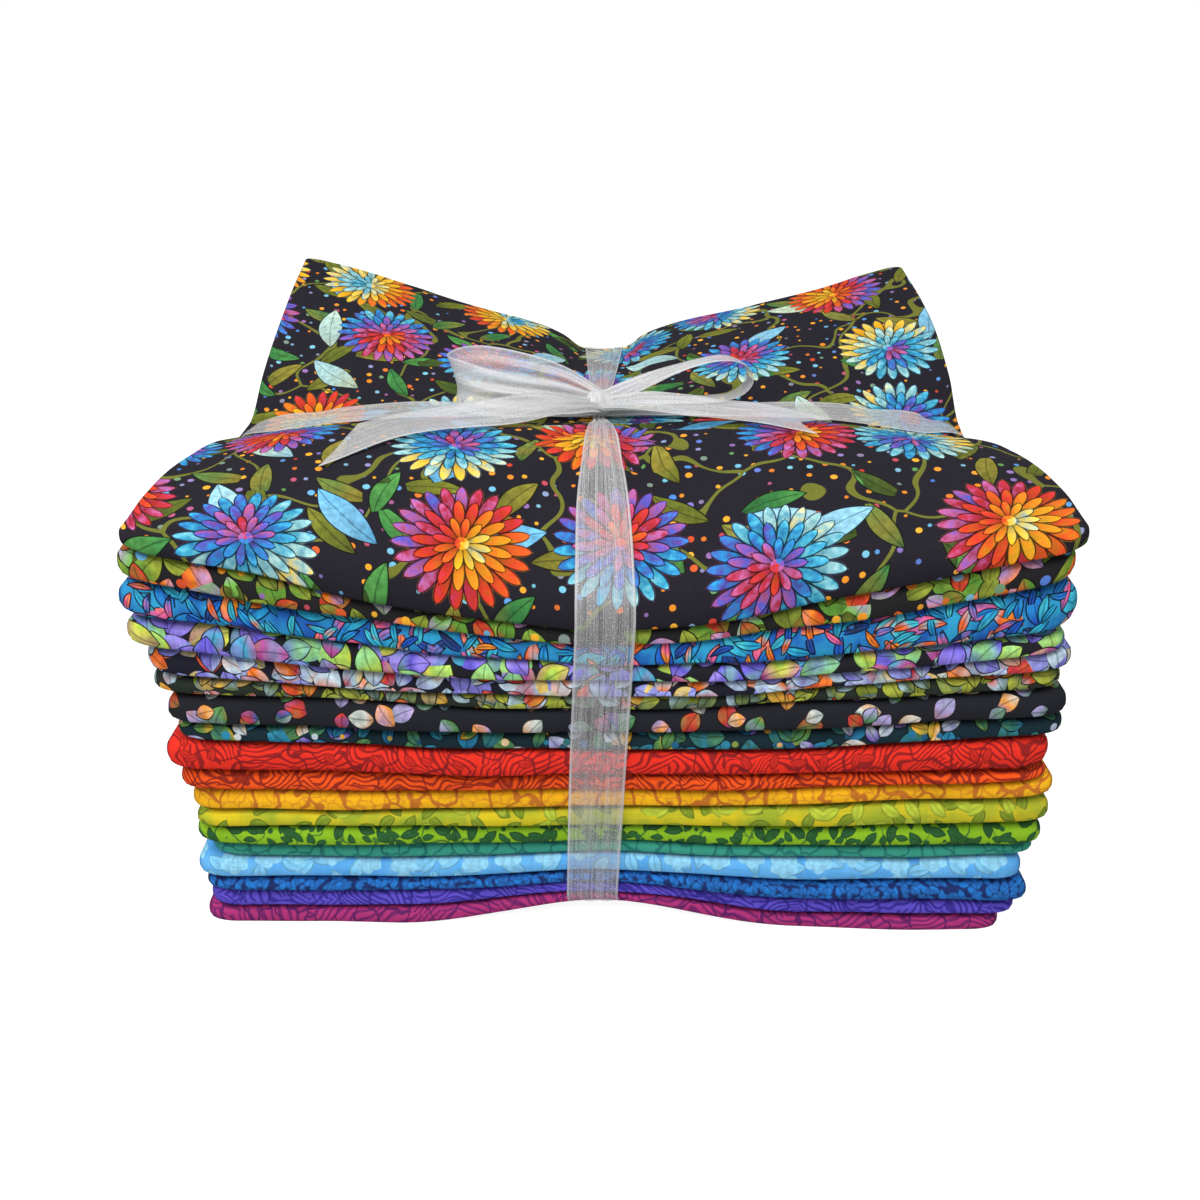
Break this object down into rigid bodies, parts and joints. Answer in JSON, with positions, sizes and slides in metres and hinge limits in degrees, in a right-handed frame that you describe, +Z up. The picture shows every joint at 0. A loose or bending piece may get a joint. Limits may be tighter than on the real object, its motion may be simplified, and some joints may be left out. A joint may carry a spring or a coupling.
{
  "type": "fabric bundle",
  "caption": "Stack of folded printed cotton cuts in graded colours, tied crosswise with a sheer ribbon and a bow.",
  "frame": {"origin": "on the floor under the middle of the bundle's box", "axes": "+X to the right along the folded front edges, +Y to the back, +Z up; the smooth folds face -Y"},
  "size_m": [0.2965, 0.2335, 0.195],
  "materials": {
    "cut_01_top": "matt printed plain-weave cotton",
    "cut_02_dark_cells": "matt printed plain-weave cotton",
    "cut_03_painted": "matt printed plain-weave cotton",
    "cut_04_green_cells": "matt printed plain-weave cotton",
    "cut_05_pale_cells": "matt printed plain-weave cotton",
    "cut_06_olive_petals": "matt printed plain-weave cotton",
    "cut_07_black_ovals": "matt printed plain-weave cotton",
    "cut_08_deep_mixed": "matt printed plain-weave cotton",
    "cut_09_red": "matt printed plain-weave cotton",
    "cut_10_orange": "matt printed plain-weave cotton",
    "cut_11_yellow": "matt printed plain-weave cotton",
    "cut_12_lime": "matt printed plain-weave cotton",
    "cut_13_green": "matt printed plain-weave cotton",
    "cut_14_teal": "matt printed plain-weave cotton",
    "cut_15_light_blue": "matt printed plain-weave cotton",
    "cut_16_dark_blue": "matt printed plain-weave cotton",
    "cut_17_violet": "matt printed plain-weave cotton",
    "cut_18_magenta": "matt printed plain-weave cotton",
    "ribbon": "sheer woven ribbon with bright edges"
  },
  "bodies": {
    "root": {"cut_01_top": "cut_01_top", "cut_02_dark_cells": "cut_02_dark_cells", "cut_03_painted": "cut_03_painted", "cut_04_green_cells": "cut_04_green_cells", "cut_05_pale_cells": "cut_05_pale_cells", "cut_06_olive_petals": "cut_06_olive_petals", "cut_07_black_ovals": "cut_07_black_ovals", "cut_08_deep_mixed": "cut_08_deep_mixed", "cut_09_red": "cut_09_red", "cut_10_orange": "cut_10_orange", "cut_11_yellow": "cut_11_yellow", "cut_12_lime": "cut_12_lime", "cut_13_green": "cut_13_green", "cut_14_teal": "cut_14_teal", "cut_15_light_blue": "cut_15_light_blue", "cut_16_dark_blue": "cut_16_dark_blue", "cut_17_violet": "cut_17_violet", "cut_18_magenta": "cut_18_magenta", "ribbon": "ribbon"}
  },
  "joints": []
}
